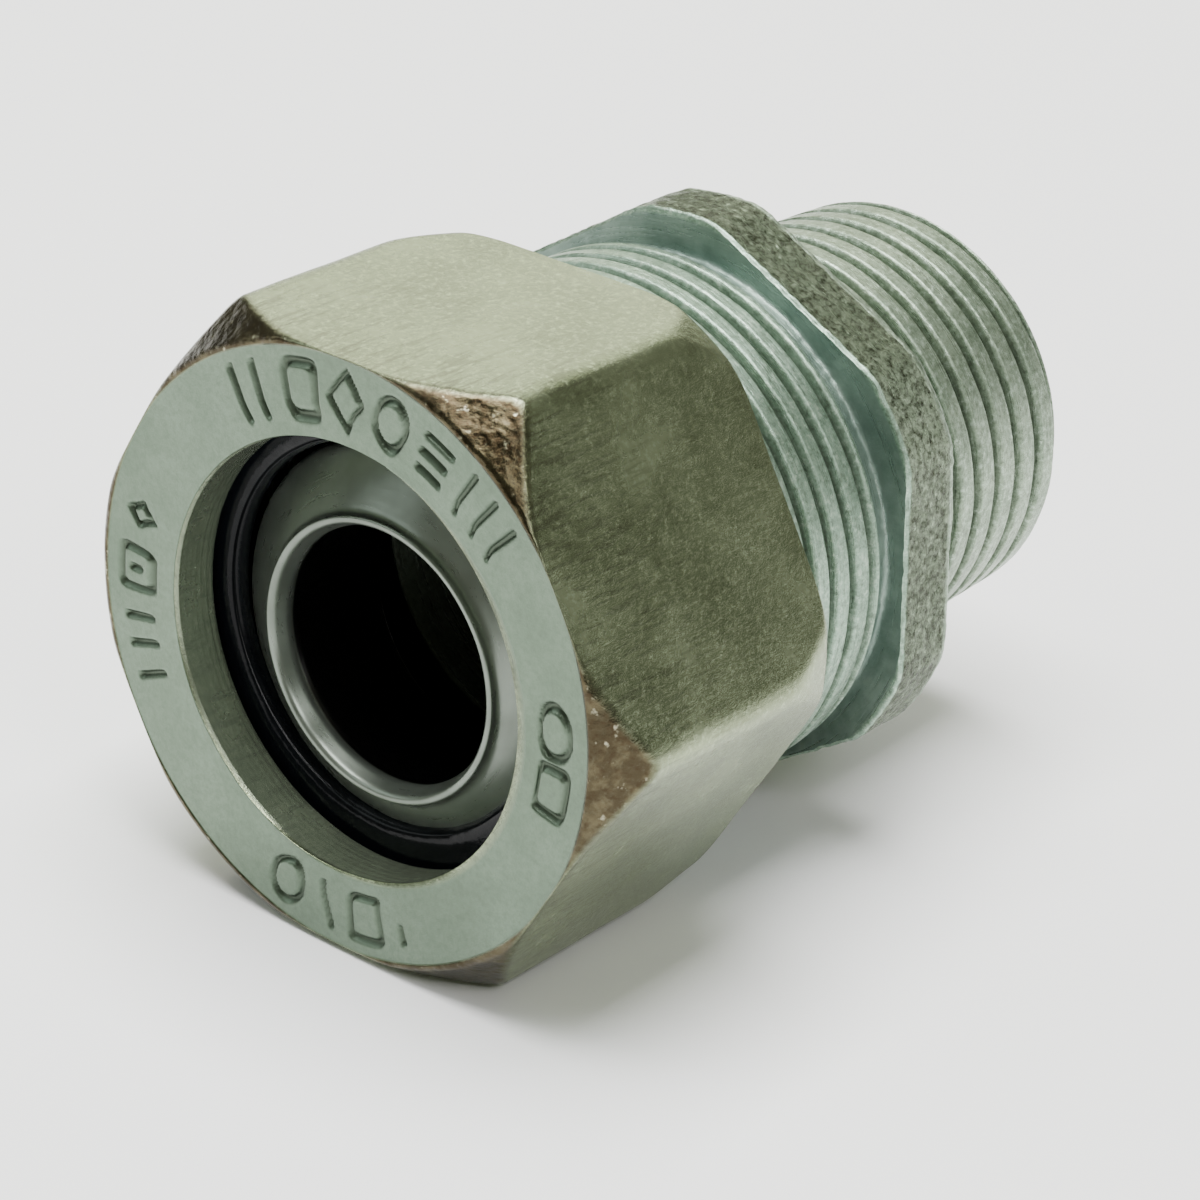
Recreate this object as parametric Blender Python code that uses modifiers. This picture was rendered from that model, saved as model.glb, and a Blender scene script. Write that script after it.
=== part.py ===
"""Straight liquid-tight conduit compression fitting, 3/8 trade size, with a 1/2-14 tapered male thread.

The axis lies along +Y, from the gland nut's face at -Y to the male end at +Y. +Z is up, and the
origin is under the middle of the fitting, level with its lowest point. Every turned profile below
is written as (radius, station) pairs in millimetres, with stations counted from the nut's face.
"""
import math

import bpy
from mathutils import Matrix

MM = 0.001
STEPS = 48                      # facets round every turned piece
GAP = 0.3                       # running gap kept between neighbouring pieces

# Overall layout along the axis, in mm from the nut's face.
LENGTH = 41.6
SPIGOT_START = 9.5              # mouth of the body, inside the nut
FLANGE_FRONT = 23.6
FLANGE_REAR = 27.3

# Gland nut.
NUT_ACROSS_FLATS = 28.6
NUT_LENGTH = 15.2
NUT_FACE_RADIUS = 14.65         # where the front chamfer starts
NUT_CHAMFER_DEPTH = 2.55
NUT_REAR_RADIUS = 15.6          # where the taper at the rear corners ends
NUT_REAR_TAPER = 4.0
NUT_BORE_RADIUS = 10.4
NUT_LIP = 2.55                  # thickness of the inward lip behind the face
NUT_SEAT_RADIUS = 12.2
NUT_THREAD_START = 5.4          # lets the spigot in by two turns of the nut
NUT_LEAN = 30                   # degrees: puts flats at the top and the bottom

# Body: gland thread, hexagon flange and tapered male thread, as plain envelopes of the threads.
SPIGOT_RADIUS = 12.75
RELIEF_RADIUS = 12.3
RELIEF_START = 22.6
FLANGE_ACROSS_FLATS = 27.2
FLANGE_CORNER_RADIUS = 14.6
FLANGE_LEAN = 3.1               # degrees the flange's top corner leans towards -X
MALE_END_RADIUS = 10.4
MALE_TAPER = 1 / 32             # growth of the radius per unit of length
MALE_CHAMFER = 0.7
BODY_BORE_RADIUS = 7.6
MOUTH_RADIUS = 11.2             # counterbore that takes the ferrule's skirt
MOUTH_DEPTH = 3.6
LINER_SEAT_RADIUS = 8.7
LINER_SEAT_DEPTH = 1.5

# Ferrule: a rolled steel cup with an inner sleeve.
LIP_STATION = 2.1
THROAT_RADIUS = 6.0
SLEEVE_OUTER_RADIUS = 6.55
SKIRT_RADIUS = 10.35
CUP_WALL = 0.8
FERRULE_END = 9.2

# Sealing ring.
SEAL_OUTER_RADIUS = NUT_SEAT_RADIUS - GAP
SEAL_INNER_RADIUS = 9.0
SEAL_FRONT = NUT_LIP + GAP
SEAL_END = 6.2

# Throat liner.
LINER_WALL = 0.9
LINER_RIM = 1.0

AXIS_HEIGHT = FLANGE_CORNER_RADIUS
MIDDLE = LENGTH / 2


def remove_everything():
    for item in list(bpy.data.objects):
        bpy.data.objects.remove(item, do_unlink=True)


def collection(name):
    made = bpy.data.collections.new(name)
    bpy.context.scene.collection.children.link(made)
    return made


def material(name, colour, metallic, roughness):
    made = bpy.data.materials.new(name)
    made.use_nodes = True
    shader = made.node_tree.nodes["Principled BSDF"]
    shader.inputs["Base Color"].default_value = (*colour, 1.0)
    shader.inputs["Metallic"].default_value = metallic
    shader.inputs["Roughness"].default_value = roughness
    return made


def lay_on_axis(item):
    """Turns a piece made round its own Z into one round the fitting's axis."""
    item.rotation_euler = (-math.pi / 2, 0, 0)
    item.location = (0, -MIDDLE * MM, AXIS_HEIGHT * MM)


def turned(name, outer, inner, group):
    """A ring: outer profile from front to rear, inner profile from front to rear, in mm."""
    points = list(reversed(outer)) + list(inner)
    vertices = [(radius * MM, 0, station * MM) for radius, station in points]
    count = len(vertices)
    edges = [(index, (index + 1) % count) for index in range(count)]
    mesh = bpy.data.meshes.new(name)
    mesh.from_pydata(vertices, edges, [])
    item = bpy.data.objects.new(name, mesh)
    group.objects.link(item)
    screw = item.modifiers.new("Turn", "SCREW")
    screw.axis = "Z"
    screw.steps = STEPS
    screw.render_steps = STEPS
    screw.use_merge_vertices = True
    screw.merge_threshold = 0.00001
    lay_on_axis(item)
    return item


def hex_cutter(name, across_flats, lean, group):
    """A long hexagonal prism round the axis, whose top corner leans towards -X by some degrees."""
    corner = across_flats / math.sqrt(3) * MM
    length = 1.2 * LENGTH * MM
    bpy.ops.mesh.primitive_cylinder_add(vertices=6, radius=corner, depth=length)
    item = bpy.context.object
    item.name = name
    item.data.transform(Matrix.Rotation(-math.radians(lean), 4, "Z"))
    item.location = (0, 0, AXIS_HEIGHT * MM)
    item.rotation_euler = (-math.pi / 2, 0, 0)
    item.hide_render = True
    item.display_type = "WIRE"
    for owner in list(item.users_collection):
        owner.objects.unlink(item)
    group.objects.link(item)
    return item


def keep_inside(item, cutter):
    cut = item.modifiers.new("Hexagon", "BOOLEAN")
    cut.operation = "INTERSECT"
    cut.solver = "EXACT"
    cut.object = cutter


def finish(item, surface):
    item.data.materials.append(surface)
    item.data.shade_smooth()


def gland_nut(group, cutters, surface):
    corner = NUT_ACROSS_FLATS / math.sqrt(3) + 0.3
    outer = [
        (NUT_FACE_RADIUS, 0),
        (corner, NUT_CHAMFER_DEPTH),
        (corner, NUT_LENGTH - NUT_REAR_TAPER),
        (NUT_REAR_RADIUS, NUT_LENGTH),
    ]
    thread_radius = SPIGOT_RADIUS + GAP
    inner = [
        (NUT_BORE_RADIUS, 0),
        (NUT_BORE_RADIUS, NUT_LIP),
        (NUT_SEAT_RADIUS, NUT_LIP),
        (NUT_SEAT_RADIUS, NUT_THREAD_START),
        (thread_radius, NUT_THREAD_START + 0.6),
        (thread_radius, NUT_LENGTH),
    ]
    nut = turned("gland_nut", outer, inner, group)
    keep_inside(nut, hex_cutter("nut_hexagon", NUT_ACROSS_FLATS, NUT_LEAN, cutters))
    finish(nut, surface)


def sealing_ring(group, surface):
    dish = SEAL_FRONT + 1.0
    skirt = SKIRT_RADIUS + GAP
    outer = [
        (SEAL_OUTER_RADIUS - 0.4, SEAL_FRONT),
        (SEAL_OUTER_RADIUS, SEAL_FRONT + 0.4),
        (SEAL_OUTER_RADIUS, SEAL_END - 0.8),
        (SEAL_OUTER_RADIUS - 0.5, SEAL_END),
    ]
    inner = [
        (SEAL_INNER_RADIUS + 0.35, SEAL_FRONT),
        (SEAL_INNER_RADIUS, SEAL_FRONT + 0.3),
        (SEAL_INNER_RADIUS, dish - 0.35),
        (skirt, dish + 0.1),
        (skirt, SEAL_END),
    ]
    ring = turned("sealing_ring", outer, inner, group)
    finish(ring, surface)


def ferrule(group, surface):
    bend = 5
    sweep_radius = SKIRT_RADIUS - 0.6 - SLEEVE_OUTER_RADIUS
    sweep_depth = 1.45
    sweep_start = LIP_STATION + 0.55
    dish = []
    for step in range(bend + 1):
        angle = math.pi / 2 * step / bend
        radius = SLEEVE_OUTER_RADIUS + sweep_radius * (1 - math.cos(angle))
        station = sweep_start + sweep_depth * math.sin(angle)
        dish.append((radius, station))
    rim = dish[-1][1]
    outer = [
        (THROAT_RADIUS + 0.15, LIP_STATION),
        (SLEEVE_OUTER_RADIUS - 0.12, LIP_STATION),
        (SLEEVE_OUTER_RADIUS, LIP_STATION + 0.2),
        *dish,
        (SKIRT_RADIUS, rim + 0.5),
        (SKIRT_RADIUS, FERRULE_END),
    ]
    inner = [
        (THROAT_RADIUS, LIP_STATION + 0.2),
        (THROAT_RADIUS, FERRULE_END),
        (THROAT_RADIUS + CUP_WALL, FERRULE_END),
        (THROAT_RADIUS + CUP_WALL, rim + CUP_WALL),
        (SKIRT_RADIUS - CUP_WALL, rim + CUP_WALL + 0.4),
        (SKIRT_RADIUS - CUP_WALL, FERRULE_END),
    ]
    cup = turned("ferrule", outer, inner, group)
    finish(cup, surface)


def fitting_body(group, cutters, surface):
    male_root = MALE_END_RADIUS + (LENGTH - FLANGE_REAR) * MALE_TAPER
    male_end = MALE_END_RADIUS + MALE_CHAMFER * MALE_TAPER
    seat = SPIGOT_START + MOUTH_DEPTH
    liner_seat = LENGTH - LINER_SEAT_DEPTH
    disc = FLANGE_CORNER_RADIUS
    outer = [
        (SPIGOT_RADIUS - 0.6, SPIGOT_START),
        (SPIGOT_RADIUS, SPIGOT_START + 0.6),
        (SPIGOT_RADIUS, RELIEF_START - 0.4),
        (RELIEF_RADIUS, RELIEF_START),
        (RELIEF_RADIUS, FLANGE_FRONT),
        (disc - 0.6, FLANGE_FRONT),
        (disc, FLANGE_FRONT + 0.6),
        (disc, FLANGE_REAR - 0.6),
        (disc - 0.6, FLANGE_REAR),
        (male_root, FLANGE_REAR),
        (male_end, LENGTH - MALE_CHAMFER),
        (MALE_END_RADIUS - MALE_CHAMFER, LENGTH),
    ]
    inner = [
        (MOUTH_RADIUS, SPIGOT_START),
        (MOUTH_RADIUS, seat),
        (BODY_BORE_RADIUS + 1.2, seat),
        (BODY_BORE_RADIUS, seat + 2.0),
        (BODY_BORE_RADIUS, liner_seat),
        (LINER_SEAT_RADIUS, liner_seat),
        (LINER_SEAT_RADIUS, LENGTH),
    ]
    body = turned("fitting_body", outer, inner, group)
    keep_inside(body, hex_cutter("flange_hexagon", FLANGE_ACROSS_FLATS, FLANGE_LEAN, cutters))
    finish(body, surface)


def throat_liner(group, surface):
    start = SPIGOT_START + MOUTH_DEPTH + 2.4
    tube = BODY_BORE_RADIUS - GAP
    rim_front = LENGTH - LINER_SEAT_DEPTH + GAP
    rim_rear = rim_front + LINER_RIM
    bore = tube - LINER_WALL
    outer = [
        (tube, start),
        (tube, rim_front),
        (LINER_SEAT_RADIUS - GAP, rim_front),
        (LINER_SEAT_RADIUS - GAP, rim_rear - 0.3),
        (LINER_SEAT_RADIUS - GAP - 0.4, rim_rear),
    ]
    inner = [
        (bore, start),
        (bore, rim_rear - 0.8),
        (bore + 0.3, rim_rear - 0.2),
        (bore + 0.9, rim_rear),
    ]
    liner = turned("throat_liner", outer, inner, group)
    finish(liner, surface)


def main():
    remove_everything()
    pieces = collection("conduit_compression_fitting")
    cutters = collection("cutters")
    nut_zinc = material("nut_zinc", (0.55, 0.57, 0.52), 1.0, 0.32)
    body_zinc = material("body_zinc", (0.50, 0.56, 0.55), 1.0, 0.38)
    ferrule_steel = material("ferrule_steel", (0.52, 0.52, 0.48), 1.0, 0.18)
    seal_black = material("seal_black", (0.012, 0.013, 0.016), 0.0, 0.16)
    liner_black = material("liner_black", (0.01, 0.01, 0.01), 0.0, 0.45)
    gland_nut(pieces, cutters, nut_zinc)
    sealing_ring(pieces, seal_black)
    ferrule(pieces, ferrule_steel)
    fitting_body(pieces, cutters, body_zinc)
    throat_liner(pieces, liner_black)


main()
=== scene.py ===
"""Looks of a straight liquid-tight conduit compression fitting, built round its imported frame.

Lengths are millimetres until a mesh is made. The fitting's axis runs along +Y, and stations count
from the gland nut's face towards the male end, as they do in the frame's own design.
"""
import math

import bpy
import numpy as np
from mathutils import Matrix, Vector, noise


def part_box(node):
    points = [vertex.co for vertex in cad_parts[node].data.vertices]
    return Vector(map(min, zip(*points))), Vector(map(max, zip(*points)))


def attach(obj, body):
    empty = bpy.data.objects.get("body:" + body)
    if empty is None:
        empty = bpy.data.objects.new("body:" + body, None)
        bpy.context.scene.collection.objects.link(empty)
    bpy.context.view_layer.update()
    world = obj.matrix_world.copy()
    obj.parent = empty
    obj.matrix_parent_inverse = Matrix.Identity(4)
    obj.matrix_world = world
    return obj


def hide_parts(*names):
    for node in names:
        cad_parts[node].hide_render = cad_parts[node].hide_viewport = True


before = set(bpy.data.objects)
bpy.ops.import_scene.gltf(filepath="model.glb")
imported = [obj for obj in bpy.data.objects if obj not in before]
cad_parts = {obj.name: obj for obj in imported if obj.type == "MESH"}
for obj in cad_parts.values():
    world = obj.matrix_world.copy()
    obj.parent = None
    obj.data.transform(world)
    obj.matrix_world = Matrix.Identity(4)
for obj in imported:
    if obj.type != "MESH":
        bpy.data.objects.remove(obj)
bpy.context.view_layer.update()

MM = 0.001
TURN = 2 * math.pi

# Places read from the frame.
NUT_LOW, NUT_HIGH = [Vector(corner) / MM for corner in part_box("gland_nut")]
BODY_LOW, BODY_HIGH = [Vector(corner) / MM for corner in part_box("fitting_body")]
FERRULE_LOW, FERRULE_HIGH = [Vector(corner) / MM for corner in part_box("ferrule")]
SEAL_LOW, SEAL_HIGH = [Vector(corner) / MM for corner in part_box("sealing_ring")]
LINER_LOW, LINER_HIGH = [Vector(corner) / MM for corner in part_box("throat_liner")]
AXIS_HEIGHT = (NUT_LOW.z + NUT_HIGH.z) / 2
FACE_Y = NUT_LOW.y

# Gland nut.
NUT_FLATS = NUT_HIGH.z - NUT_LOW.z
NUT_LENGTH = NUT_HIGH.y - NUT_LOW.y
NUT_LEAN = 30                       # degrees from a corner at the top
NUT_FACE_RADIUS = 14.55
NUT_CHAMFER_SLOPE = 2.5 / 1.95      # depth of the front chamfer for each mm of radius
NUT_BLANK = 17.2                    # radius that the hexagon is cut from
NUT_REAR_RADIUS = 15.6
NUT_REAR_TAPER = 5.6                # length of the taper at the rear corners
NUT_EDGE = 0.22                     # width of the worn edges where the hexagon meets the turning
NUT_BORE = 10.42
NUT_BORE_OFF = (0.42, -0.12)        # the bore is not quite in the middle of the forging
NUT_LIP = 2.5
NUT_SEAT = 12.2
NUT_SEAT_END = 5.4
NUT_THREAD_BORE = 13.3
NUT_THREAD_HEIGHT = 0.5             # its ridges stay clear of the body's grooves at every pose
NUT_COLUMNS = 720
MARK_RADIUS = 12.45                 # the circle that the stamped marks stand on
MARK_DEPTH = 0.26

# Ferrule, which lies loose on the bottom of the sealing ring.
FERRULE_OFF = (0.42, -0.7)

# Body.
SPIGOT_START = BODY_LOW.y - FACE_Y
END_STATION = BODY_HIGH.y - FACE_Y
GLAND_CREST = 13.02
GLAND_PITCH = 1.5
GLAND_DEPTH = 0.6
GLAND_PHASE = 17.42                 # a groove's station on the +X side
RELIEF_START = 22.7
RELIEF_RADIUS = 12.45
FLANGE_FRONT = 23.6
FLANGE_REAR = 27.3
FLANGE_FLATS = 27.15
FLANGE_CORNER = (BODY_HIGH.z - BODY_LOW.z) / 2 - 0.08
FLANGE_LEAN = 3.1
MALE_END = 10.4
MALE_TAPER = 1 / 32
MALE_PITCH = 25.4 / 14
MALE_DEPTH = 0.72
MALE_PHASE = 33.72
MALE_CHAMFER = 0.75
BODY_BORE = 7.6
LINER_SEAT = 8.7
LINER_SEAT_DEPTH = 1.5
MOUTH = 11.2
MOUTH_DEPTH = 3.6
BODY_COLUMNS = 540


# ---------------------------------------------------------------- mesh helpers

def rounded_path(corners):
    """Samples a polygon of (radius, station, rounding, spacing), rounding its corners.

    A corner's spacing is used on the side that leaves it. Returns points and each one's corner.
    """
    count = len(corners)
    points, owners = [], []
    for index, (radius, station, rounding, spacing) in enumerate(corners):
        here = np.array([radius, station])
        before = np.array(corners[index - 1][:2])
        after = np.array(corners[(index + 1) % count][:2])
        start = here + (before - here) * min(0.5, rounding / np.linalg.norm(before - here))
        stop = here + (after - here) * min(0.5, rounding / np.linalg.norm(after - here))
        bend = 6 if rounding > 0 else 1
        for part in np.linspace(0, 1, bend):
            points.append((1 - part) ** 2 * start + 2 * part * (1 - part) * here + part ** 2 * stop)
            owners.append(index)
        following = corners[(index + 1) % count]
        goal = after + (here - after) * min(0.5, following[2] / np.linalg.norm(here - after))
        steps = max(1, round(np.linalg.norm(goal - stop) / spacing))
        for step in range(1, steps):
            points.append(stop + (goal - stop) * step / steps)
            owners.append(index)
    return np.array(points), np.array(owners)


def soft_min(first, second, blend):
    share = np.clip(0.5 + 0.5 * (second - first) / blend, 0, 1)
    return second + (first - second) * share - blend * share * (1 - share)


def smooth_step(value):
    value = np.clip(value, 0, 1)
    return value * value * (3 - 2 * value)


def hexagon(angle, across_flats, lean, rounding):
    """Radius of a hexagon with one corner leaning from the top towards -X, corners rounded."""
    turned = angle - math.radians(90 + lean) + TURN / 12
    off = np.mod(turned, TURN / 6) - TURN / 12
    flats = across_flats / 2 / np.cos(TURN / 12 - np.abs(off))
    corner = across_flats / math.sqrt(3)
    return soft_min(flats, corner - rounding + 0 * flats, rounding * 1.5)


def grain(points, size, seed):
    """Smooth noise at every point of an (n, 3) array, between about -1 and 1."""
    shift = Vector((seed * 17.3, seed * 5.1, seed * 9.7))
    return np.array([noise.noise(Vector(point) / size + shift) for point in points])


def ring_mesh(name, radius, station, angles, zones, off=(0, 0)):
    """A closed ring from (rows, columns) arrays of radius and station; zones colour it."""
    rows, columns = radius.shape
    x = radius * np.cos(angles) + off[0]
    y = station + FACE_Y
    z = radius * np.sin(angles) + AXIS_HEIGHT + off[1]
    points = np.stack([x, y, z], axis=2).reshape(-1, 3) * MM
    row, column = np.meshgrid(np.arange(rows), np.arange(columns), indexing="ij")
    next_row = (row + 1) % rows
    next_column = (column + 1) % columns
    corners = [row * columns + column, row * columns + next_column,
               next_row * columns + next_column, next_row * columns + column]
    quads = np.stack(corners, axis=2).reshape(-1, 4)
    first, second, third = (points[quads[:, corner]] for corner in (0, 1, 2))
    volume = np.einsum("ij,ij->", first, np.cross(second, third))
    if volume < 0:
        quads = quads[:, ::-1]
    mesh = bpy.data.meshes.new(name)
    mesh.vertices.add(len(points))
    mesh.vertices.foreach_set("co", points.ravel())
    mesh.loops.add(quads.size)
    mesh.loops.foreach_set("vertex_index", quads.ravel().astype(np.int32))
    mesh.polygons.add(len(quads))
    mesh.polygons.foreach_set("loop_start", np.arange(0, quads.size, 4, dtype=np.int32))
    mesh.update(calc_edges=True)
    mesh.shade_smooth()
    colours = np.ones((len(points), 4))
    colours[:, :3] = np.stack([np.broadcast_to(zone, radius.shape) for zone in zones], 2).reshape(-1, 3)
    layer = mesh.color_attributes.new("zones", "FLOAT_COLOR", "POINT")
    layer.data.foreach_set("color", colours.ravel())
    piece = bpy.data.objects.new(name, mesh)
    bpy.context.scene.collection.objects.link(piece)
    return piece


def groove(station, angle, pitch, phase, half_width):
    """How deep a right-hand thread is cut at a place, from 0 on the crest to 1 in the root."""
    turns = (station - phase) / pitch + angle / TURN
    off = np.abs(np.mod(turns + 0.5, 1) - 0.5)
    return smooth_step(1.35 * (1 - off / half_width))


# ---------------------------------------------------------------- stamped marks

def bar(u, v, centre_u, centre_v, half_length, lean):
    """Distance to a straight stroke."""
    along = (u - centre_u) * math.sin(lean) + (v - centre_v) * math.cos(lean)
    across = (u - centre_u) * math.cos(lean) - (v - centre_v) * math.sin(lean)
    return np.hypot(across, np.maximum(np.abs(along) - half_length, 0))


def loop(u, v, centre_u, centre_v, size_u, size_v, power):
    """Distance to the outline of an oval (power 2), a diamond (1) or nearly a box (6)."""
    scaled = (np.abs((u - centre_u) / size_u) ** power + np.abs((v - centre_v) / size_v) ** power)
    return np.abs(scaled ** (1 / power) - 1) * min(size_u, size_v)


def stamp(radius, angle):
    """Depth of the plain geometric marks struck into the nut's face, 0 to 1."""
    depth = np.zeros_like(radius)

    def strike(degrees, distance, width=0.13):
        nonlocal depth
        u = (np.mod(angle - math.radians(degrees) + math.pi, TURN) - math.pi) * MARK_RADIUS
        depth = np.maximum(depth, smooth_step(1.5 - distance(u, radius - MARK_RADIUS) / width))

    for degrees in (119, 113):
        strike(degrees, lambda u, v: bar(u, v, 0, 0, 1.15, 0.0))
    strike(101, lambda u, v: loop(u, v, 0, 0, 0.85, 1.15, 6))
    strike(89, lambda u, v: loop(u, v, 0, 0, 0.95, 1.25, 1))
    strike(77, lambda u, v: loop(u, v, 0, 0, 0.85, 1.1, 2))
    for offset in (-0.85, 0, 0.85):
        strike(65, lambda u, v, offset=offset: bar(u, v, 0, offset, 0.7, math.pi / 2))
    for degrees in (56, 50, 44):
        strike(degrees, lambda u, v: bar(u, v, 0, 0, 1.1, 0.0))
    strike(166, lambda u, v: loop(u, v, 0, 0, 0.55, 0.7, 1))
    strike(179, lambda u, v: loop(u, v, 0, 0, 0.95, 0.95, 6))
    strike(179, lambda u, v: bar(u, v, 0, 0, 0.25, 0.0))
    for degrees in (190, 196, 203):
        strike(degrees, lambda u, v: bar(u, v, 0, 0, 0.75, 0.0))
    strike(257, lambda u, v: loop(u, v, 0, 0, 0.9, 1.1, 2))
    strike(268, lambda u, v: bar(u, v, 0, 0, 1.1, 0.35))
    strike(279, lambda u, v: loop(u, v, 0, 0, 0.9, 1.1, 6))
    strike(289, lambda u, v: bar(u, v, 0, 0.5, 0.35, 0.0))
    strike(5, lambda u, v: loop(u, v, 0, 0.0, 1.2, 0.85, 2))
    strike(-8, lambda u, v: loop(u, v, 0, 0.0, 1.1, 0.8, 6))
    return depth


# ---------------------------------------------------------------- pieces

def spun(path, columns):
    """Radius, station and angle of every point when a path of (radius, station) is spun."""
    angles = np.linspace(0, TURN, columns, endpoint=False)
    radius = np.repeat(path[:, :1], columns, 1)
    station = np.repeat(path[:, 1:], columns, 1)
    return radius, station, np.broadcast_to(angles, radius.shape)


def grain_on(radius, station, angle, size, seed):
    """Noise at every point of a spun surface."""
    places = np.stack([radius * np.cos(angle), station, radius * np.sin(angle)], 2)
    return grain(places.reshape(-1, 3), size, seed).reshape(radius.shape)


def gland_nut():
    face_part, chamfer_part, flat_part, rear_part, mouth_part, thread_part = 0, 1, 2, 5, 6, 7
    lip_part, bore_part = 10, 11
    corners = [
        (NUT_BORE, 0.0, 0.12, 0.11),
        (NUT_FACE_RADIUS, 0.0, 0.2, 0.13),
        (NUT_BLANK, NUT_CHAMFER_SLOPE * (NUT_BLANK - NUT_FACE_RADIUS), 0.2, 0.3),
        (NUT_BLANK - 0.2, NUT_LENGTH - NUT_REAR_TAPER, 0.2, 0.25),
        (NUT_REAR_RADIUS, NUT_LENGTH - 0.25, 0.3, 0.25),
        (NUT_REAR_RADIUS - 0.4, NUT_LENGTH, 0.2, 0.25),
        (NUT_THREAD_BORE + 0.2, NUT_LENGTH, 0.2, 0.14),
        (NUT_THREAD_BORE, NUT_LENGTH - 0.3, 0.0, 0.14),
        (NUT_THREAD_BORE, NUT_SEAT_END + 0.8, 0.1, 0.4),
        (NUT_SEAT, NUT_SEAT_END, 0.2, 0.6),
        (NUT_SEAT, NUT_LIP, 0.2, 0.4),
        (NUT_BORE, NUT_LIP, 0.06, 0.12),
    ]
    path, owner = rounded_path(corners)
    radius, station, angle = spun(path, NUT_COLUMNS)
    owner = owner[:, None]

    # The hexagon trims the turned blank, and leaves round chamfers at the front and the rear.
    shell = hexagon(angle, NUT_FLATS, NUT_LEAN, 0.2)
    turned_share = np.clip(0.5 + 0.5 * (shell - radius) / NUT_EDGE, 0, 1)
    outside = owner <= rear_part
    radius = np.where(outside, soft_min(radius, shell, NUT_EDGE), radius)

    thread = groove(station, angle, GLAND_PITCH, GLAND_PHASE, 0.17)
    threaded = (owner == mouth_part) | (owner == thread_part)
    radius = np.where(threaded, radius - NUT_THREAD_HEIGHT * thread, radius)

    face = (owner == face_part) & (station < 0.02)
    marks = np.where(face, stamp(radius, angle), 0)
    wave = grain_on(radius, station, angle, 3.5, 1)
    ripple = grain_on(radius, station, angle, 0.9, 2)
    radius = radius + np.where(outside & (station > 0.05), wave * 0.035 + ripple * 0.006, 0)

    # A burr stands up round the bore, and the rest of the face lies 0.02 behind its top.
    burr = np.exp(-((radius - NUT_BORE) / 0.14) ** 2) * (0.5 + ripple)
    station = station + marks * MARK_DEPTH + np.where(face, np.maximum(-0.03 * burr, -0.02) + 0.03, 0)
    rings = np.sin(station * TURN / 0.34 + wave * 2) * 0.012
    radius = np.where(owner == bore_part, radius + rings, radius)

    # The bore's offset fades out over the first 1.6 mm of the face round it.
    near_bore = smooth_step((NUT_BORE + 1.6 - radius) / 1.6) * face
    inwards = np.where(owner >= lip_part, 1.0, near_bore)
    off = (NUT_BORE_OFF[0] * inwards, NUT_BORE_OFF[1] * inwards)

    chamfered = (owner == chamfer_part) | ((owner == flat_part) & (station < 4))
    machined_zone = np.where(face, 1.0, 0.0)
    chamfer_zone = np.where(chamfered, turned_share, 0.0)
    worked_zone = np.maximum(np.where(owner >= bore_part, 1.0, 0.0), marks)
    zones = (machined_zone, chamfer_zone, worked_zone)
    return ring_mesh("gland_nut_shell", radius, station, angle[0], zones, off)


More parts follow.
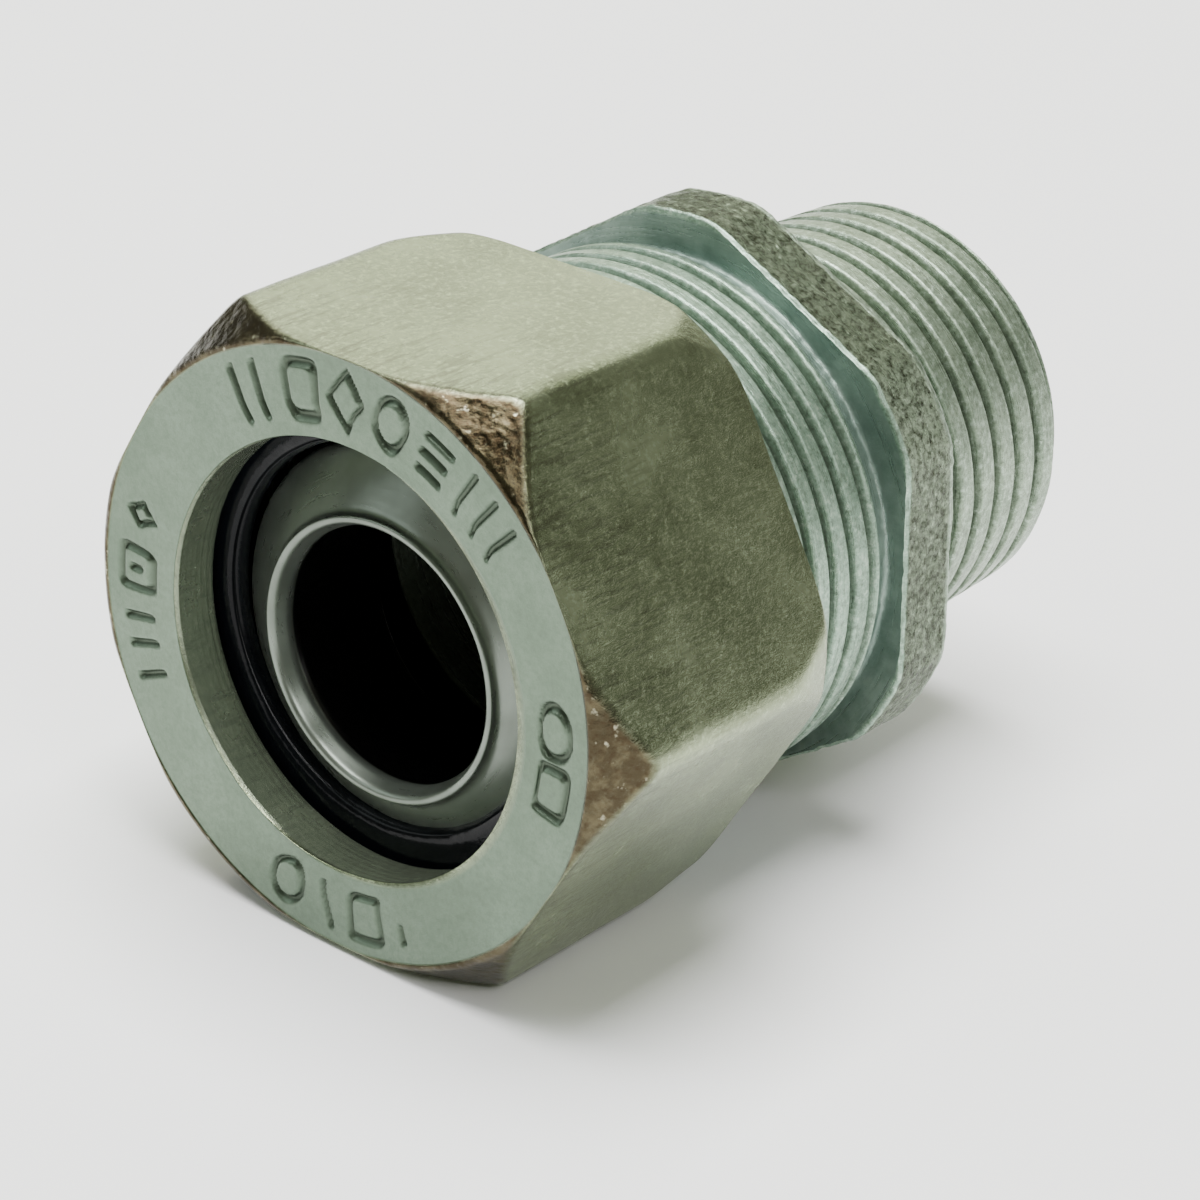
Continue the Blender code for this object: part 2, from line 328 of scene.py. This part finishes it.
def fitting_body():
    gland_first, relief_shoulder, relief_part, front_part, rim_part, rear_part = 1, 3, 4, 5, 6, 7
    male_first, end_part, throat_first = 8, 11, 15
    male_root = MALE_END + (END_STATION - FLANGE_REAR) * MALE_TAPER
    liner_seat = END_STATION - LINER_SEAT_DEPTH
    mouth_floor = SPIGOT_START + MOUTH_DEPTH
    corners = [
        (GLAND_CREST - 0.9, SPIGOT_START, 0.1, 0.2),
        (GLAND_CREST, SPIGOT_START + 0.9, 0.1, 0.15),
        (GLAND_CREST, NUT_LENGTH - 1.0, 0.0, 0.08),           # the thread that can be seen
        (GLAND_CREST, RELIEF_START - 0.3, 0.15, 0.08),
        (RELIEF_RADIUS, RELIEF_START, 0.15, 0.15),
        (RELIEF_RADIUS, FLANGE_FRONT, 0.3, 0.15),
        (FLANGE_CORNER, FLANGE_FRONT, 0.22, 0.13),
        (FLANGE_CORNER, FLANGE_REAR, 0.35, 0.2),
        (male_root - 0.5, FLANGE_REAR, 0.3, 0.09),
        (male_root, FLANGE_REAR + 0.5, 0.1, 0.09),
        (MALE_END, END_STATION - MALE_CHAMFER, 0.15, 0.09),
        (MALE_END - MALE_CHAMFER, END_STATION, 0.15, 0.2),
        (LINER_SEAT, END_STATION, 0.1, 0.3),
        (LINER_SEAT, liner_seat, 0.1, 0.4),
        (BODY_BORE, liner_seat, 0.1, 1.0),
        (BODY_BORE, mouth_floor + 2.0, 0.3, 0.6),
        (BODY_BORE + 1.2, mouth_floor, 0.2, 0.6),
        (MOUTH, mouth_floor, 0.2, 0.6),
        (MOUTH, SPIGOT_START + 0.1, 0.1, 0.4),
    ]
    path, owner = rounded_path(corners)
    radius, station, angle = spun(path, BODY_COLUMNS)
    owner = owner[:, None]

    # The hexagon trims the flange's disc, and its edges are broken a little.
    flange = (owner >= front_part) & (owner <= rear_part) & (station > FLANGE_FRONT - 0.5)
    edge = np.minimum(station - FLANGE_FRONT, FLANGE_REAR - station)
    shell = hexagon(angle, FLANGE_FLATS, FLANGE_LEAN, 0.3) - 0.16 * smooth_step(1 - edge / 0.2)
    radius = np.where(flange, soft_min(radius, shell, 0.3), radius)

    # Both threads run out as they near the flange.
    gland = groove(station, angle, GLAND_PITCH, GLAND_PHASE, 0.25)
    gland = gland * smooth_step((RELIEF_START + 0.2 - station) / 1.2)
    gland = np.where((owner >= gland_first) & (owner <= relief_shoulder), gland, 0)
    male = groove(station, angle, MALE_PITCH, MALE_PHASE, 0.23)
    male = male * smooth_step((station - FLANGE_REAR) / 1.0)
    male = np.where((owner >= male_first) & (owner <= end_part) & (radius > 9.0), male, 0)

    wave = grain_on(radius, station, angle, 1.6, 3)
    pits = grain_on(radius, station, angle, 0.38, 4)
    rough = np.where(flange, 0.06 * pits + 0.035 * wave, 0.012 * pits + 0.01 * wave)
    rough = np.where(owner <= end_part, rough, 0)

    shoulder = (owner == relief_shoulder) & (station > RELIEF_START - 0.3)
    radius = radius - (gland * GLAND_DEPTH + male * MALE_DEPTH) + rough
    front = (owner == front_part) & (radius < 14.2)
    smooth_zone = np.where((owner == relief_part) | shoulder | front, 1.0, 0.0)
    # The flange's front edge is kept out of the cast zone. It is smooth metal there, and its brighter
    # colour is partly a painted highlight along the edge.
    cast_zone = np.where(flange & (owner == rim_part) & (station > FLANGE_FRONT + 0.18), 1.0, 0.0)
    # Painted shade: the thread roots and the throat's mouth are marked to be darkened.
    groove_and_throat_shade = gland + male + (owner >= throat_first)
    zones = (smooth_zone, cast_zone, groove_and_throat_shade)
    return ring_mesh("fitting_body_shell", radius, station, angle[0], zones)


def turned_piece(name, corners, columns, ripple=0.0, size=1.0, dark=(), off=(0, 0)):
    """A plain turned piece, a little uneven; the sides named in dark are painted black, which is
    painted shade.
    """
    path, owner = rounded_path(corners)
    radius, station, angle = spun(path, columns)
    if ripple:
        wave = grain_on(radius, station, angle, size, 5)
        radius = radius + ripple * wave
        station = station + ripple * wave
    shaded = np.isin(owner, dark)[:, None].astype(float)
    return ring_mesh(name, radius, station, angle[0], (0.0, 0.0, shaded), off)


def ferrule():
    front = FERRULE_LOW.y - FACE_Y
    rear = FERRULE_HIGH.y - FACE_Y
    skirt = (FERRULE_HIGH.z - FERRULE_LOW.z) / 2
    wall = skirt - 0.65
    corners = [
        (6.4, front + 0.02, 0.25, 0.1),
        (6.72, front, 0.12, 0.1),
        (6.85, front + 0.4, 0.25, 0.1),
        (9.55, front + 1.95, 0.3, 0.12),
        (wall, front + 2.5, 0.3, 0.4),
        (wall, rear, 0.15, 0.3),
        (wall - 0.75, rear, 0.15, 0.5),
        (wall - 0.75, front + 3.2, 0.5, 0.4),
        (6.85, front + 2.0, 0.4, 0.5),
        (6.85, rear, 0.15, 0.3),
        (6.3, rear, 0.1, 0.5),
        (6.3, front + 1.6, 0.2, 0.2),
        (6.05, front + 0.9, 0.2, 0.1),
    ]
    # Sides 10 and 11, the tube's inner wall behind the lip, are painted black as painted shade.
    return turned_piece("ferrule_cup", corners, 256, 0.012, 2.2, dark=(10, 11), off=FERRULE_OFF)


def sealing_ring():
    front = SEAL_LOW.y - FACE_Y
    rear = SEAL_HIGH.y - FACE_Y
    outer = (SEAL_HIGH.z - SEAL_LOW.z) / 2
    corners = [
        (9.0, front + 0.35, 0.3, 0.08),
        (9.45, front, 0.3, 0.12),
        (outer, front, 0.4, 0.3),
        (outer, rear, 0.4, 0.3),
        (10.65, rear, 0.2, 0.3),
        (10.65, front + 1.15, 0.2, 0.3),
        (9.0, front + 0.95, 0.1, 0.08),
    ]
    return turned_piece("sealing_ring_moulded", corners, 256, 0.025, 1.1)


def throat_liner():
    start = LINER_LOW.y - FACE_Y
    rear = LINER_HIGH.y - FACE_Y
    rim = (LINER_HIGH.z - LINER_LOW.z) / 2
    corners = [
        (7.3, start, 0.2, 1.0),
        (7.3, rear - 1.0, 0.1, 0.3),
        (rim, rear - 1.0, 0.15, 0.2),
        (rim, rear, 0.35, 0.15),
        (7.35, rear, 0.4, 0.15),
        (6.4, rear - 1.0, 0.5, 1.0),
        (6.4, start, 0.2, 0.3),
    ]
    return turned_piece("throat_liner_bush", corners, 192)


# ---------------------------------------------------------------- materials

class Shader:
    """A node material with short calls for the nodes used here."""

    def __init__(self, name):
        self.material = bpy.data.materials.new(name)
        self.material.use_nodes = True
        self.tree = self.material.node_tree
        self.surface = self.tree.nodes["Principled BSDF"]

    def node(self, kind, inputs=(), **settings):
        made = self.tree.nodes.new(kind)
        for key, value in settings.items():
            setattr(made, key, value)
        for key, value in dict(inputs).items():
            self.put(made.inputs[key], value)
        return made

    def put(self, socket, value):
        if isinstance(value, bpy.types.NodeSocket):
            self.tree.links.new(value, socket)
        else:
            socket.default_value = value

    def math(self, operation, first, second=0.0, clamp=False):
        made = self.node("ShaderNodeMath", {0: first, 1: second}, operation=operation, use_clamp=clamp)
        return made.outputs[0]

    def place(self):
        """Position in millimetres, with the fitting's axis through the origin."""
        where = self.node("ShaderNodeTexCoord").outputs["Object"]
        made = self.node("ShaderNodeMapping", {"Vector": where, "Location": (0, 0, -AXIS_HEIGHT),
                                               "Scale": (1 / MM, 1 / MM, 1 / MM)})
        return made.outputs["Vector"]

    def polar(self):
        """(radius, station, arc length) in millimetres, for marks that run round the axis."""
        x, y, z = self.node("ShaderNodeSeparateXYZ", {"Vector": self.place()}).outputs
        across = self.math("MULTIPLY", x, x)
        upwards = self.math("MULTIPLY", z, z)
        radius = self.math("SQRT", self.math("ADD", across, upwards))
        arc = self.math("MULTIPLY", self.math("ARCTAN2", z, x), 12.0)
        joined = self.node("ShaderNodeCombineXYZ", {"X": radius, "Y": y, "Z": arc})
        return joined.outputs["Vector"]

    def stretch(self, vector, scale):
        return self.node("ShaderNodeMapping", {"Vector": vector, "Scale": scale}).outputs["Vector"]

    def noise(self, vector, scale, detail=4.0, roughness=0.6):
        made = self.node("ShaderNodeTexNoise", {"Vector": vector, "Scale": scale, "Detail": detail,
                                                "Roughness": roughness})
        return made.outputs["Fac"]

    def span(self, value, low, high, out_low=0.0, out_high=1.0):
        made = self.node("ShaderNodeMapRange", {"Value": value, "From Min": low, "From Max": high,
                                                "To Min": out_low, "To Max": out_high})
        return made.outputs["Result"]

    def mix(self, share, first, second):
        """One colour or the other, or part of each."""
        made = self.node("ShaderNodeMix", {"Factor": share}, data_type="RGBA")
        self.put(made.inputs[6], first)
        self.put(made.inputs[7], second)
        return made.outputs[2]

    def blend(self, share, first, second):
        """The same for plain numbers."""
        return self.node("ShaderNodeMix", {0: share, 2: first, 3: second}).outputs[0]

    def scratches(self, vector, scale, width):
        """Thin curved lines, broken up into patches."""
        course = self.math("ABSOLUTE", self.math("SUBTRACT", self.noise(vector, scale, 2.0, 0.5), 0.5))
        line = self.span(course, 0.0, width, 1.0, 0.0)
        patches = self.span(self.noise(vector, 0.5, 2.0), 0.5, 0.58)
        return self.math("MULTIPLY", line, patches)

    def along(self):
        """Millimetres along the axis from the middle of the fitting."""
        return self.node("ShaderNodeSeparateXYZ", {"Vector": self.place()}).outputs[1]

    def zones(self):
        colour = self.node("ShaderNodeAttribute", attribute_name="zones").outputs["Color"]
        return self.node("ShaderNodeSeparateColor", {"Color": colour}).outputs

    def bump(self, height, strength, distance, under=None):
        inputs = {"Height": height, "Strength": strength, "Distance": distance * MM}
        if under is not None:
            inputs["Normal"] = under
        return self.node("ShaderNodeBump", inputs).outputs["Normal"]


def rgb(red, green, blue):
    return (red, green, blue, 1.0)


def nut_material():
    """Zinc plate: scratched flats whose bright grain holds painted glints, a turned face, glossy
    chamfers painted brown as a reflection and given painted glints, and dark stamped marks.
    """
    shader = Shader("nut_zinc_plate")
    face, chamfer, worked = shader.zones()[:3]
    place = shader.place()
    off_face = shader.math("SUBTRACT", 1.0, face)
    bore = shader.math("MULTIPLY", worked, off_face)
    marks = shader.math("MULTIPLY", worked, face)
    mottle = shader.span(shader.noise(place, 0.22, 5.0), 0.38, 0.62)
    fine_grain_and_glints = shader.noise(place, 3.0, 5.0, 0.8)
    streak = shader.noise(shader.stretch(place, (5.0, 0.6, 5.0)), 0.9, 3.0, 0.6)
    turned = shader.noise(shader.stretch(shader.polar(), (9.0, 9.0, 0.3)), 1.0, 4.0, 0.65)
    scratch = shader.scratches(place, 0.5, 0.01)
    painted_reflection_patches = shader.span(shader.noise(place, 0.9, 3.0), 0.45, 0.6)
    painted_glint = shader.span(shader.noise(place, 1.7, 3.0), 0.63, 0.72)

    # Flats: olive grey with a bright grain whose light specks are painted glints, brushed along the
    # axis near the face.
    near_face = shader.span(shader.along(), -19.0, -9.0, 1.0, 0.1)
    brushed = shader.math("MULTIPLY", shader.span(streak, 0.52, 0.6), near_face)
    flats = shader.mix(mottle, rgb(0.205, 0.24, 0.145), rgb(0.275, 0.32, 0.2))
    flats = shader.mix(shader.span(fine_grain_and_glints, 0.5, 0.64, 0.0, 0.6), flats, rgb(0.45, 0.52, 0.35))
    flats = shader.mix(shader.math("MULTIPLY", brushed, 0.45), flats, rgb(0.09, 0.095, 0.06))

    # Face: cooler and finer, with dark specks.
    front = shader.mix(mottle, rgb(0.125, 0.168, 0.122), rgb(0.16, 0.212, 0.157))
    front = shader.mix(shader.span(fine_grain_and_glints, 0.4, 0.65, 0.0, 0.4), front, rgb(0.08, 0.105, 0.075))

    # Chamfers: a painted reflection, dark brown standing in for brown surroundings mirrored in them,
    # with a few painted glints.
    brown = shader.mix(painted_reflection_patches, rgb(0.03, 0.014, 0.006), rgb(0.075, 0.055, 0.03))
    brown = shader.mix(painted_glint, brown, rgb(0.3, 0.28, 0.2))

    colour = shader.mix(face, flats, front)
    colour = shader.mix(shader.math("MULTIPLY", chamfer, 0.9), colour, brown)
    colour = shader.mix(shader.math("MULTIPLY", bore, 0.6), colour, rgb(0.15, 0.18, 0.145))
    colour = shader.mix(shader.math("MULTIPLY", marks, 0.8), colour, rgb(0.045, 0.055, 0.04))
    colour = shader.mix(shader.math("MULTIPLY", scratch, 0.45), colour, rgb(0.07, 0.075, 0.05))
    shader.put(shader.surface.inputs["Base Color"], colour)
    shader.put(shader.surface.inputs["Metallic"], shader.span(bore, 0.0, 1.0, 0.94, 0.75))

    rough = shader.span(mottle, 0.0, 1.0, 0.2, 0.28)
    rough = shader.math("ADD", rough, shader.math("MULTIPLY", face, 0.1))
    rough = shader.math("SUBTRACT", rough, shader.math("MULTIPLY", chamfer, 0.08))
    shader.put(shader.surface.inputs["Roughness"], rough)

    on_lathe = shader.math("MAXIMUM", face, worked)
    tooling = shader.bump(shader.blend(on_lathe, streak, turned), 0.3, 0.03)
    grainy = shader.bump(fine_grain_and_glints, 0.5, 0.055, tooling)
    ripple = shader.math("MULTIPLY", shader.noise(place, 0.8, 2.0), chamfer)
    shader.put(shader.surface.inputs["Normal"], shader.bump(ripple, 0.6, 0.25, grainy))
    return shader.material


def body_material():
    """Zinc plate: grainy threads with painted glints and painted shade in their grooves, a speckled
    cast flange whose front edge is kept brighter as a partly painted highlight, smooth blue-grey next
    to it, and painted shade in the throat.
    """
    shader = Shader("body_zinc_plate")
    smooth, cast, deep = shader.zones()[:3]
    place = shader.place()
    male = shader.span(shader.along(), 5.0, 6.0)
    blotch = shader.span(shader.noise(place, 0.5, 6.0), 0.35, 0.65)
    speck = shader.span(shader.noise(place, 2.8, 6.0, 0.8), 0.4, 0.6)
    lines = shader.noise(shader.stretch(shader.polar(), (5.0, 8.0, 0.2)), 1.0, 4.0, 0.7)
    grit_and_glints = shader.noise(place, 3.0, 5.0, 0.8)

    gland_thread = shader.mix(blotch, rgb(0.22, 0.32, 0.24), rgb(0.32, 0.45, 0.35))
    male_thread = shader.mix(blotch, rgb(0.21, 0.28, 0.2), rgb(0.30, 0.38, 0.28))
    thread = shader.mix(male, gland_thread, male_thread)
    thread = shader.mix(shader.span(lines, 0.52, 0.68, 0.0, 0.5), thread, rgb(0.09, 0.11, 0.08))
    # The light specks are painted glints; the dark specks on the next line are the thread's own grain.
    thread = shader.mix(shader.span(grit_and_glints, 0.52, 0.64, 0.0, 0.7), thread, rgb(0.55, 0.66, 0.55))
    thread = shader.mix(shader.span(grit_and_glints, 0.48, 0.36, 0.0, 0.6), thread, rgb(0.07, 0.085, 0.06))
    rim = shader.mix(speck, rgb(0.035, 0.04, 0.024), rgb(0.27, 0.335, 0.235))
    relief = shader.mix(blotch, rgb(0.15, 0.21, 0.18), rgb(0.25, 0.325, 0.28))
    # Outside the cast zone, the flange's front edge takes the brighter thread colour, which is partly a
    # painted highlight.
    colour = shader.mix(cast, thread, rim)
    colour = shader.mix(smooth, colour, relief)
    # Painted shade: the thread roots and the throat are darkened almost to black.
    colour = shader.mix(shader.math("MULTIPLY", deep, 0.9), colour, rgb(0.045, 0.05, 0.035))
    shader.put(shader.surface.inputs["Base Color"], colour)
    shader.put(shader.surface.inputs["Metallic"], shader.span(cast, 0.0, 1.0, 0.82, 1.0))
    shader.put(shader.surface.inputs["Roughness"], shader.span(lines, 0.3, 0.7, 0.22, 0.4))

    tooling = shader.bump(lines, 0.5, 0.05)
    strength = shader.span(cast, 0.0, 1.0, 0.5, 1.0)
    grainy = shader.bump(shader.blend(cast, grit_and_glints, speck), strength, 0.1, tooling)
    shader.put(shader.surface.inputs["Normal"], grainy)
    return shader.material


def ferrule_material():
    shader = Shader("ferrule_plated_steel")
    place = shader.place()
    dark = shader.zones()[2]
    blotch = shader.span(shader.noise(place, 0.3, 3.0), 0.35, 0.65)
    steel = shader.mix(blotch, rgb(0.13, 0.15, 0.125), rgb(0.18, 0.205, 0.175))
    # Painted shade: the inner wall behind the lip is painted near black.
    colour = shader.mix(dark, steel, rgb(0.004, 0.004, 0.004))
    shader.put(shader.surface.inputs["Base Color"], colour)
    shader.surface.inputs["Metallic"].default_value = 0.75
    wear = shader.noise(shader.stretch(shader.polar(), (4.0, 4.0, 0.3)), 1.0, 4.0)
    shader.put(shader.surface.inputs["Roughness"], shader.span(wear, 0.3, 0.7, 0.26, 0.34))
    shader.put(shader.surface.inputs["Normal"], shader.bump(wear, 0.1, 0.02))
    return shader.material


def black_material(name, roughness, bump):
    """Moulded black plastic or rubber."""
    shader = Shader(name)
    place = shader.place()
    blotch = shader.noise(place, 0.6, 5.0)
    colour = shader.mix(blotch, rgb(0.0015, 0.002, 0.003), rgb(0.004, 0.0048, 0.0065))
    rough = shader.span(shader.noise(place, 3.0), 0.3, 0.7, roughness, roughness + 0.12)
    uneven = shader.bump(shader.noise(place, 1.4, 3.0), bump, 0.15)
    shader.put(shader.surface.inputs["Base Color"], colour)
    shader.put(shader.surface.inputs["Roughness"], rough)
    shader.put(shader.surface.inputs["Normal"], uneven)
    shader.surface.inputs["Specular IOR Level"].default_value = 0.12
    return shader.material


def floor_material():
    shader = Shader("pale_floor")
    cloud = shader.noise(shader.place(), 0.01, 3.0)
    shader.put(shader.surface.inputs["Base Color"],
               shader.mix(cloud, rgb(0.86, 0.86, 0.86), rgb(0.9, 0.9, 0.9)))
    shader.surface.inputs["Roughness"].default_value = 0.75
    return shader.material


# ---------------------------------------------------------------- stage

CAMERA_AZIMUTH = 38.5
CAMERA_ELEVATION = 26.3
CAMERA_ROLL = 2.9
CAMERA_PLACE = (102.1, -130.9, 92.2)
CAMERA_LENS = 116.0
SENSOR_WIDTH = 36.0
FLOOR_SIZE = 3.0                    # metres
LIGHTS_AIM = (0, 0, 0.015)          # metres


def camera():
    azimuth, elevation = math.radians(CAMERA_AZIMUTH), math.radians(CAMERA_ELEVATION)
    data = bpy.data.cameras.new("camera")
    data.lens = CAMERA_LENS
    data.sensor_width = SENSOR_WIDTH
    data.clip_start = 0.01
    item = bpy.data.objects.new("camera", data)
    bpy.context.scene.collection.objects.link(item)
    turn = Matrix.Rotation(azimuth, 4, "Z") @ Matrix.Rotation(math.pi / 2 - elevation, 4, "X")
    turn = turn @ Matrix.Rotation(math.radians(CAMERA_ROLL), 4, "Z")
    item.matrix_world = Matrix.Translation(Vector(CAMERA_PLACE) * MM) @ turn
    bpy.context.scene.camera = item


def floor():
    mesh = bpy.data.meshes.new("floor")
    half = FLOOR_SIZE / 2
    mesh.from_pydata([(-half, -half, 0), (half, -half, 0), (half, half, 0), (-half, half, 0)],
                     [], [(0, 1, 2, 3)])
    item = bpy.data.objects.new("floor", mesh)
    bpy.context.scene.collection.objects.link(item)
    item.data.materials.append(floor_material())


def softbox(name, place, width, height, power, colour):
    """A rectangular lamp aimed at the fitting; place, width and height in metres, power in watts."""
    data = bpy.data.lights.new(name, "AREA")
    data.shape = "RECTANGLE"
    data.size = width
    data.size_y = height
    data.energy = power
    data.color = colour
    item = bpy.data.objects.new(name, data)
    bpy.context.scene.collection.objects.link(item)
    item.location = place
    aim = Vector(LIGHTS_AIM) - Vector(place)
    item.rotation_euler = aim.to_track_quat("-Z", "Y").to_euler()


def lights():
    world = bpy.data.worlds.new("studio")
    world.use_nodes = True
    background = world.node_tree.nodes["Background"]
    background.inputs["Color"].default_value = rgb(0.34, 0.35, 0.26)
    background.inputs["Strength"].default_value = 0.6
    bpy.context.scene.world = world
    softbox("overhead_box", (-0.05, 0.0, 0.95), 0.7, 0.7, 26.0, (1.0, 1.0, 1.0))
    softbox("back_left_box", (-0.42, 0.50, 0.34), 0.6, 0.42, 2.0, (0.98, 1.0, 0.8))
    softbox("front_left_box", (-0.6, -0.5, 0.55), 0.6, 0.6, 2.2, (0.9, 1.0, 1.0))
    softbox("front_right_box", (0.62, -0.27, 0.62), 0.25, 0.25, 2.5, (1.0, 1.0, 1.0))


def dress(piece, body, node, surface):
    """Gives a piece its material and puts it in the place of a CAD node."""
    piece.data.materials.append(surface)
    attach(piece, body)
    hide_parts(node)


camera()
floor()
lights()
dress(gland_nut(), "nut", "gland_nut", nut_material())
seal_surface = black_material("seal_moulded_black", 0.1, 0.2)
dress(sealing_ring(), "seal_stack", "sealing_ring", seal_surface)
dress(ferrule(), "seal_stack", "ferrule", ferrule_material())
dress(fitting_body(), "body", "fitting_body", body_material())
liner_surface = black_material("liner_moulded_black", 0.45, 0.1)
dress(throat_liner(), "body", "throat_liner", liner_surface)
